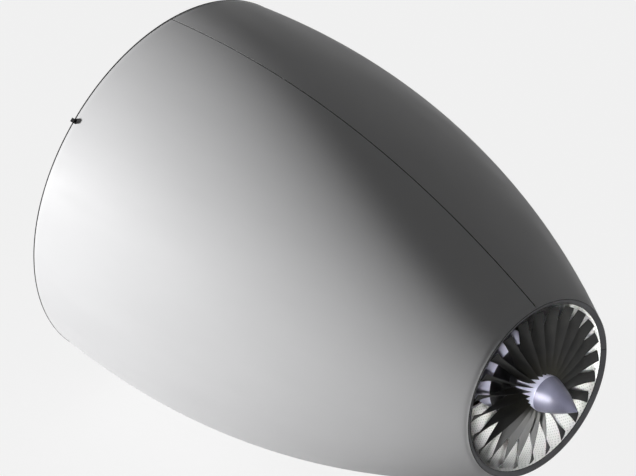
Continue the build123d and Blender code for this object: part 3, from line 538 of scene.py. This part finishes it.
hub = {"front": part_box("aft_hub")[0].x, "rear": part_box("aft_hub")[1].x, "frontR": 0.076, "rearR": 0.090,
       "boreR": 0.0501, "rim": 0.012, "web": 0.016, "edge": 0.0015}
hubOutline = softened([
    (hub["front"], hub["boreR"]), (hub["front"], hub["frontR"]), (hub["rear"], hub["rearR"]),
    (hub["rear"], hub["rearR"] - hub["rim"]), (hub["rear"] - hub["web"], hub["boreR"]),
], hub["edge"])
finishMesh(lathe(hubOutline, segments["cone"]), "aft_hub_turned", "cone_metal", "low_pressure_spool",
           ("aft_hub",), look=litAlloyCopy)

drum = {"front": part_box("rear_body")[0].x, "rear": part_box("rear_body")[1].x, "bend": 1.985, "frontR": 0.200,
        "r": 0.184, "wall": 0.006, "boreR": 0.0981, "boss": 0.012, "bossFront": 2.199, "edge": 0.002}
bossR, innerX = drum["boreR"] + drum["boss"], drum["rear"] - 2 * drum["wall"]
drumOutline = softened([
    (drum["front"], drum["frontR"]), (drum["bend"], drum["r"]), (drum["rear"], drum["r"]),
    (drum["rear"], drum["boreR"]), (drum["bossFront"], drum["boreR"]), (drum["bossFront"], bossR),
    (innerX, bossR), (innerX, drum["r"] - drum["wall"]), (drum["bend"], drum["r"] - drum["wall"]),
    (drum["front"], drum["frontR"] - drum["wall"]),
], drum["edge"])
finishMesh(lathe(drumOutline, segments["drum"]), "rear_body_spun", "cone_metal", "casing", ("rear_body",),
           look=litAlloyCopy)

# dark plate on the drum's rear face: painted shade, a dark sheet laid where the face lies in shade
shadePlate = {"thick": 0.0012, "innerR": 0.100, "outerR": 0.1825, "edge": 0.0004}
shadePlateRear = drum["rear"] + shadePlate["thick"]
shadePlateOutline = softened([
    (drum["rear"], shadePlate["innerR"]), (drum["rear"], shadePlate["outerR"]),
    (shadePlateRear, shadePlate["outerR"]), (shadePlateRear, shadePlate["innerR"]),
], shadePlate["edge"])
finishMesh(lathe(shadePlateOutline, segments["drum"]), "rear_shade_plate", "ring_metal", "casing")

nose = {"tip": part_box("spinner")[0].x, "base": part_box("spinner")[1].x, "r": 0.230, "wall": 0.006,
        "shoulder": (0.101, 0.155), "flangeR": 0.195, "edge": 0.001}
noseX, shoulderR = nose["tip"] + nose["shoulder"][0], nose["shoulder"][1]
spinnerLine = blended([(nose["tip"], 0), (noseX, shoulderR), (nose["base"], nose["r"])])
spinnerOutline = softened(spinnerLine + [
    (nose["base"], nose["flangeR"]), (nose["base"] - nose["wall"], nose["flangeR"]),
] + blended([
    (nose["base"] - nose["wall"], nose["r"] - 2 * nose["wall"]),
    (noseX + nose["wall"], shoulderR - nose["wall"]), (nose["tip"] + 2 * nose["wall"], 0),
]), nose["edge"])
finishMesh(lathe(spinnerOutline, segments["drum"]), "spinner_spun", "cone_metal", "low_pressure_spool",
           ("spinner",))

# screws of the spinner and of the lip; share is their place along the turned line
screws = {
    "spinner_screws": {"count": 12, "line": spinnerLine, "share": 0.94, "headR": 0.0055, "proud": 0.0012,
                       "body": "low_pressure_spool"},
    "lip_screws": {"count": 48, "line": noseLine(0), "share": 0.96, "headR": 0.0045, "proud": 0.0010,
                   "body": "casing"},
}


def screwRing(name, count, line, share, headR, proud, body, sides=12):
    # domed heads set square to the line; dome is their radius and height from foot to crown
    shape = bmesh.new()
    i = round(share * (len(line) - 1))
    here, after = Vector(line[i]), Vector(line[i + 1])
    along = (after - here).normalized()
    outward = Vector((-along.y, along.x))
    dome = [(headR, -proud), (headR, 0.3 * proud), (0.8 * headR, 0.75 * proud), (0.4 * headR, proud)]
    for k in range(count):
        turn = Matrix.Rotation(math.tau * (k + 0.5) / count, 3, "X")
        rows = []
        for r, height in dome:
            row = []
            for j in range(sides):
                a = math.tau * j / sides
                spot = here + along * (r * math.cos(a)) + outward * height
                row.append(shape.verts.new(turn @ Vector((spot.x, r * math.sin(a), spot.y))))
            rows.append(row)
        joinLoops(shape, rows)
        shape.faces.new(rows[-1])
    finishMesh(shape, name, "bearing_steel", body)


for name, values in screws.items():
    screwRing(name, **values)
print("turned pieces done")


# blades: sections of (radius, chord, thickness, camber, stagger) joined by a smooth curve

def bladePoint(sections, x, s, side, radius, edge):
    # a point of the blade at radius; s runs from -1 at the nose to 1 at the tail
    spots = []
    for _, chord, thick, camber, stagger in sections:
        across = (camber + side * thick / 2) * (1 - s * s) + side * edge * math.sqrt(max(0, 1 - s ** 6))
        u = s * chord / 2
        a = math.radians(stagger)
        spots.append((x + u * math.cos(a) - across * math.sin(a), u * math.sin(a) + across * math.cos(a)))
    here = [0.0, 0.0]
    for i, section in enumerate(sections):
        weight = 1.0
        for j, other in enumerate(sections):
            if j != i:
                weight *= (radius - other[0]) / (section[0] - other[0])
        here[0] += weight * spots[i][0]
        here[1] += weight * spots[i][1]
    return here


def onCylinder(sections, x, s, side, edge, wallAt, tries=6):
    # the height at which the blade's line at s meets a wall of radius wallAt(x), found in a few tries
    height = wallAt(x)
    for _ in range(tries):
        px, py = bladePoint(sections, x, s, side, height, edge)
        height = math.sqrt(wallAt(px) ** 2 - py * py)
    return height


def bladeRow(sections, row, hubAt, spans=26, chords=14):
    # each blade is a stack of rings from hub to tip, closed at both ends
    shape = bmesh.new()
    stations = [-math.cos(math.pi * i / chords) for i in range(chords + 1)]
    ringSpots = [(s, 1) for s in stations] + [(s, -1) for s in reversed(stations[1:-1])]
    for blade in range(row["count"]):
        turn = Matrix.Rotation(math.radians(row["phase"] + 360 / row["count"] * blade), 3, "X")
        rings = []
        for k in range(spans + 1):
            loop = []
            for s, side in ringSpots:
                low = onCylinder(sections, row["x"], s, side, row["edge"], hubAt)
                high = onCylinder(sections, row["x"], s, side, row["edge"], lambda _: row["tipR"])
                height = low + (high - low) * k / spans
                px, py = bladePoint(sections, row["x"], s, side, height, row["edge"])
                loop.append(shape.verts.new(turn @ Vector((px, py, height))))
            rings.append(loop)
        joinLoops(shape, rings)
        for loop in (rings[0], rings[-1]):
            shape.faces.new((loop[0], loop[1], loop[-1]))
            for i in range(1, chords - 1):
                shape.faces.new((loop[i], loop[i + 1], loop[-i - 1], loop[-i]))
            shape.faces.new((loop[chords - 1], loop[chords], loop[1 - chords]))
    return shape


bladeSharp = 40  # degrees above which an edge of a blade stays sharp
rotor = {"x": 2.374, "count": 24, "phase": -3.4, "tipR": 0.409, "edge": 0.0004}
span = rotor["tipR"] - hub["frontR"]
rotorSections = (
    (hub["frontR"] - 0.010, 0.114, 0.007, -0.004, 13),
    (hub["frontR"] + 0.37 * span, 0.093, 0.006, -0.004, 16),
    (hub["frontR"] + 0.76 * span, 0.055, 0.0045, -0.0025, 36),
    (rotor["tipR"] + 0.006, 0.055, 0.003, -0.001, 73),
)


def hubRadius(x):
    share = min(1.0, max(0.0, (x - hub["front"]) / (hub["rear"] - hub["front"])))
    return hub["frontR"] + (hub["rearR"] - hub["frontR"]) * share + hair


finishMesh(bladeRow(rotorSections, rotor, hubRadius), "aft_blades_forged", "blade_metal",
           "low_pressure_spool", ("aft_blades",), bladeSharp)

fan = {"x": 0.424, "count": 24, "phase": 0.0, "hubR": 0.235, "tipR": 0.800, "edge": 0.0006}
fanSpan = fan["tipR"] - fan["hubR"]
fanSections = (
    (fan["hubR"] - 0.012, 0.176, 0.020, 0.024, 18),
    (fan["hubR"] + 0.33 * fanSpan, 0.188, 0.015, 0.017, 38),
    (fan["hubR"] + 0.66 * fanSpan, 0.200, 0.010, 0.009, 53),
    (fan["tipR"] + 0.014, 0.212, 0.006, 0.004, 63),
)
finishMesh(bladeRow(fanSections, fan, lambda _: fan["hubR"] + hair), "fan_blades_forged", "fan_metal",
           "low_pressure_spool", ("fan_blades",), bladeSharp)
print("blades done")


# floor, lights and camera

# the floor lies below the part by this much and reaches this far; share of what is seen of it is glow,
# the rest is matt; sky is how strongly the page round it lights the part
page = {"colour": "F0F0F0", "below": 0.002, "reach": 60, "share": 0.86, "glow": 1.145, "sky": 0.06}
paper = fromHex(page["colour"])


def seenDirectly(tree):
    # 1 for what the camera sees, also by reflection or through glass, and 0 for light that falls on the part
    ray = addNode(tree, "LightPath").outputs
    seen = ray["Is Camera Ray"]
    for other in ("Is Glossy Ray", "Is Transmission Ray"):
        seen = reckon(tree, "MAXIMUM", seen, ray[other])
    return seen


def pageSurface(name):
    # pale floor: shows the page colour to the camera and to reflections, and keeps a soft shadow
    material = bpy.data.materials.new(name)
    material.use_nodes = True
    tree = material.node_tree
    tree.nodes.clear()
    share = reckon(tree, "MULTIPLY", seenDirectly(tree), page["share"])
    matt = addNode(tree, "BsdfDiffuse", {"Color": paper}).outputs[0]
    glow = addNode(tree, "Emission", {"Color": paper, "Strength": page["glow"]}).outputs[0]
    mixed = addNode(tree, "MixShader", links={0: share, 1: matt, 2: glow}).outputs[0]
    addNode(tree, "OutputMaterial", links={"Surface": mixed})
    return material


floorShape = bmesh.new()
bmesh.ops.create_grid(floorShape, x_segments=1, y_segments=1, size=page["reach"])
floorMesh = bpy.data.meshes.new("floor")
floorShape.to_mesh(floorMesh)
floorShape.free()
floorMesh.materials.append(pageSurface("page_floor"))
floor = bpy.data.objects.new("floor", floorMesh)
floor.location.z = cadLow.z - page["below"]
bpy.context.scene.collection.objects.link(floor)

world = bpy.data.worlds.new("studio")
world.use_nodes = True
bpy.context.scene.world = world
sky = world.node_tree
sky.nodes.clear()
dimSky = addNode(sky, "Background", {"Color": fromHex("FFFFFF"), "Strength": page["sky"]}).outputs[0]
pageSky = addNode(sky, "Background", {"Color": paper, "Strength": 1.0}).outputs[0]
mixedSky = addNode(sky, "MixShader", links={0: seenDirectly(sky), 1: dimSky, 2: pageSky}).outputs[0]
addNode(sky, "OutputWorld", links={"Surface": mixedSky})

# one sun from the front left, and small lamps that reach in through the nozzle's opening
sun = {"towards": (-0.766, -0.643, 0.05), "strength": 4.5, "angle": 8}
lamps = {
    "nozzle_fill": {"aim": (ring["rear"], 0, 0), "towards": (0.62, -0.60, 0.50), "distance": 2.6,
                    "wide": 0.82, "tall": 0.47, "power": 2.1, "glint": False},
    "rim_fill": {"aim": (ring["rear"], 0.28, 0.10), "towards": (0.75, -0.52, -0.40), "distance": 1.5,
                 "wide": 0.62, "tall": 0.20, "power": 0.45, "glint": False},
    "blade_fill": {"aim": (ring["rear"], -0.05, -0.24), "towards": (0.45, -0.89, 0.0), "distance": 2.6,
                   "wide": 0.30, "tall": 0.20, "power": 8.0, "matt": False},
    "cone_key": {"aim": (cone["base"] + 0.045, 0, 0), "towards": (-0.05, -0.97, 0.22), "distance": 2.2,
                 "wide": 0.20, "tall": 0.10, "power": 0.12},
}
gridSpread = 2  # degrees by which a beam widens


def sunLamp(name, towards, strength, angle):
    data = bpy.data.lights.new(name, "SUN")
    data.energy = strength
    data.angle = math.radians(angle)
    lamp = bpy.data.objects.new(name, data)
    lamp.rotation_euler = Vector(towards).to_track_quat("Z", "Y").to_euler()
    bpy.context.scene.collection.objects.link(lamp)


def griddedLamp(name, aim, towards, distance, wide, tall, power, matt=True, glint=True):
    # soft oval lamp behind a honeycomb grid: its beam keeps the lamp's outline and falls on one place only;
    # wide is measured square to the engine's axis, tall along it; matt lights paint, glint adds a shine
    facing = Vector(towards).normalized()
    major = Vector((1, 0, 0)).cross(facing).normalized()
    data = bpy.data.lights.new(name, "AREA")
    data.shape = "ELLIPSE"
    data.size = wide
    data.size_y = tall
    data.spread = math.radians(gridSpread)
    data.energy = power
    lamp = bpy.data.objects.new(name, data)
    turn = Matrix((major, facing.cross(major), facing)).transposed()
    lamp.matrix_world = Matrix.Translation(Vector(aim) + facing * distance) @ turn.to_4x4()
    lamp.visible_diffuse, lamp.visible_glossy = matt, glint
    bpy.context.scene.collection.objects.link(lamp)


sunLamp("key", **sun)
for name, values in lamps.items():
    griddedLamp(name, **values)

# isometric camera; the rim's centre lies at rimX, rimY pixels from the photo's top left corner
photo = {"width": 636, "height": 476, "rimX": 537.67, "rimY": 388.69, "mmPerPixel": 4.6}
cameraDistance, clipEnd = 9, 60
metresPerPixel = photo["mmPerPixel"] / 1000
back = Vector((1, -1, 1)).normalized()
right = Vector((1, 1, 0)).normalized()
up = back.cross(right)
target = Vector((ring["rear"], 0, 0)) + right * (photo["width"] / 2 - photo["rimX"]) * metresPerPixel \
    - up * (photo["height"] / 2 - photo["rimY"]) * metresPerPixel
cameraData = bpy.data.cameras.new("camera")
cameraData.type = "ORTHO"
cameraData.ortho_scale = photo["width"] * metresPerPixel
cameraData.clip_end = clipEnd
camera = bpy.data.objects.new("camera", cameraData)
camera.location = target + back * cameraDistance
camera.rotation_euler = back.to_track_quat("Z", "Y").to_euler()
bpy.context.scene.collection.objects.link(camera)
bpy.context.scene.camera = camera
bpy.context.scene.view_settings.view_transform = "Standard"
